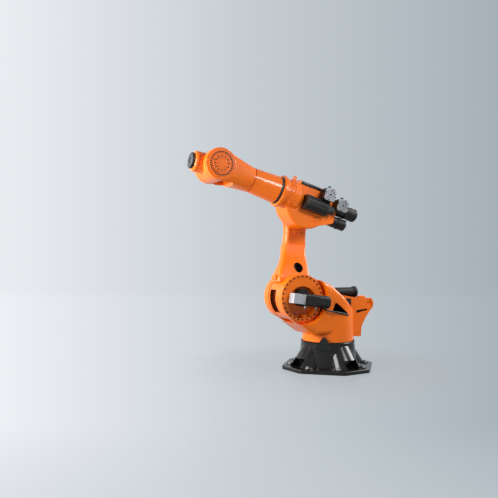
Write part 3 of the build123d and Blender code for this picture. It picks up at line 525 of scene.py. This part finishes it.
def paleSweep():
    # profile s -> (along, up): flat floor, quarter circle, upright wall; carried across the view's width
    s = np.linspace(0, 1, sweep["steps"])
    turn = np.clip((s - sweep["floorEnd"]) / (sweep["bendEnd"] - sweep["floorEnd"]), 0, 1) * pi / 2
    floor = np.minimum(s / sweep["floorEnd"], 1) * sweep["floorRun"] - sweep["floorBack"]
    wall = np.maximum(s - sweep["bendEnd"], 0) / (1 - sweep["bendEnd"]) * sweep["wall"]
    along = (floor + sweep["bend"] * np.sin(turn))[:, None, None] * ahead
    up = (wall + sweep["bend"] * (1 - np.cos(turn)))[:, None, None] * np.array([0, 0, 1.0])
    sides = np.array([-sweep["halfWidth"], sweep["halfWidth"]])[None, :, None] * aside
    points = sweepStart + along + sides + up
    i = np.arange(len(s) - 1)
    faces = np.stack([2 * i, 2 * i + 1, 2 * i + 3, 2 * i + 2], -1)
    mesh = bpy.data.meshes.new("paleSweep")
    mesh.from_pydata(points.reshape(-1, 3).tolist(), [], faces.tolist())
    mesh.polygons.foreach_set("use_smooth", np.ones(len(faces), bool))
    obj = bpy.data.objects.new("paleSweep", mesh)
    bpy.context.scene.collection.objects.link(obj)
    return obj


# painted light falloff across the sweep, dim to one side and bright to the other, the floor a little lighter
# than the wall; away from the object its roughness grows, and so does the share of its own colour
paper = {"colour": (0.27, 0.285, 0.30), "dimSide": (0.39, 0.44, 0.48), "middle": (0.56, 0.61, 0.64),
         "brightSide": (0.83, 0.84, 0.88), "sideGain": 1.2, "sideStart": 2.0, "sideSoft": 4.0,
         "rough": 0.20, "dullStart": 1.0, "dullRise": 0.35, "dullMost": 0.6,
         "shareNear": 0.72, "nearReach": 0.9, "shareRise": 0.17, "farthest": 9.0,
         "edge": 24.0, "edgeSoft": 6.0, "floorLift": 0.035}


def sweepPaint():
    # pale paper: camera and glossy rays see a share of its own glowing colour, with the painted light
    # falloff, so the lamps need not wash it; near the object the rest is lit paper, which keeps the shadow
    net = Net("paleSweep")
    side = net.along(tuple(aside)) - float(sweepStart @ aside)
    far = net.along(tuple(ahead)) - float(sweepStart @ ahead)
    fadeIn = ((far - paper["sideStart"]) / paper["sideSoft"]).clipped()
    # painted light falloff: darker to one side and lighter to the other, seen from the camera's spot
    falloffAcross = side / far.math("MAXIMUM", far, 1.0) * paper["sideGain"] * fadeIn
    stops = [(k / 2, tint(*paper[key])) for k, key in enumerate(("dimSide", "middle", "brightSide"))]
    paintedFalloff = net.node("ShaderNodeValToRGB", {"stops": stops}, {"Fac": falloffAcross + 0.5})
    wallward = ((far - paper["edge"]) / paper["edgeSoft"]).clipped()
    lift = 1 + paper["floorLift"] * (1 - wallward)
    glow = net.node("ShaderNodeEmission", {}, {"Color": net.scaled(paintedFalloff, lift)})
    x, y = net.along((1, 0, 0)), net.along((0, 1, 0))
    reach = x.math("SQRT", x * x + y * y)
    dull = ((reach - paper["dullStart"]) * paper["dullRise"]).clipped(paper["dullMost"])
    net.set(Base_Color=tint(*paper["colour"]), Roughness=paper["rough"] + dull)
    away = (reach - paper["nearReach"]).clipped(paper["farthest"])
    share = (paper["shareNear"] + away * paper["shareRise"]).clipped()
    lit = Wire(net, net.shader.outputs[0])
    result = net.node("ShaderNodeMixShader", {}, {0: net.seen() * share, 1: lit, 2: glow})
    net.put(net.tree.nodes["Material Output"].inputs["Surface"], result)
    return net.mat


def photoCamera():
    data = bpy.data.cameras.new("photoCamera")
    data.sensor_width, data.lens, data.shift_y = camera["sensor"], camera["lens"], camera["shift"]
    data.clip_end = camera["clipEnd"]
    obj = bpy.data.objects.new("photoCamera", data)
    tilt = radians(camera["tilt"])
    look = Vector((*(ahead[:2] * cos(tilt)), sin(tilt)))
    obj.location = camera["spot"]
    obj.rotation_euler = look.to_track_quat("-Z", "Y").to_euler()
    bpy.context.scene.collection.objects.link(obj)
    bpy.context.scene.camera = obj


def softLamp(name, spot, aim, size, watts, colour):
    data = bpy.data.lights.new(name, "AREA")
    data.shape, data.size, data.size_y = "RECTANGLE", size[0], size[1]
    data.energy, data.color = watts, colour
    obj = bpy.data.objects.new(name, data)
    obj.location = spot
    obj.rotation_euler = (Vector(aim) - Vector(spot)).to_track_quat("-Z", "Y").to_euler()
    bpy.context.scene.collection.objects.link(obj)


paleSweep().data.materials.append(sweepPaint())
sky = {"colour": (0.88, 0.92, 0.97), "light": 0.08, "seen": 0.62}  # strength on the object, and to the camera
room = Net("studio", bpy.data.worlds, "Background")
room.set(Color=tint(*sky["colour"]), Strength=sky["light"] + room.seen() * (sky["seen"] - sky["light"]))
bpy.context.scene.world = room.mat
white, warm, warmer = (1, 1, 1), (1.0, 0.98, 0.96), (1.0, 0.98, 0.95)
lamps = {
    "leftWall": {"spot": (6.3, 0.4, 3.1), "aim": (0.6, 0.0, 1.8), "size": (3.2, 3.8),
                 "watts": 600, "colour": warmer},
    "backLeft": {"spot": (6.0, -5.0, 3.4), "aim": (0.5, -0.2, 1.6), "size": (2.4, 3.0),
                 "watts": 240, "colour": warm},
    "rightWall": {"spot": (-4.8, 0.8, 3.9), "aim": (0.2, 0.2, 1.2), "size": (2.6, 3.0),
                  "watts": 300, "colour": warm},
    "keyBox": {"spot": (-0.9, 4.0, 4.4), "aim": (0.4, 0.2, 1.8), "size": (1.2, 1.2),
               "watts": 135, "colour": white},
    "frontFill": {"spot": (2.2, 8.6, 2.6), "aim": (0.4, 0.0, 1.4), "size": (2.4, 2.4),
                  "watts": 25, "colour": white},
}
for name, lamp in lamps.items():
    softLamp(name, **lamp)
photoCamera()
bpy.context.scene.view_settings.view_transform = "Standard"
print("studio and camera ready")
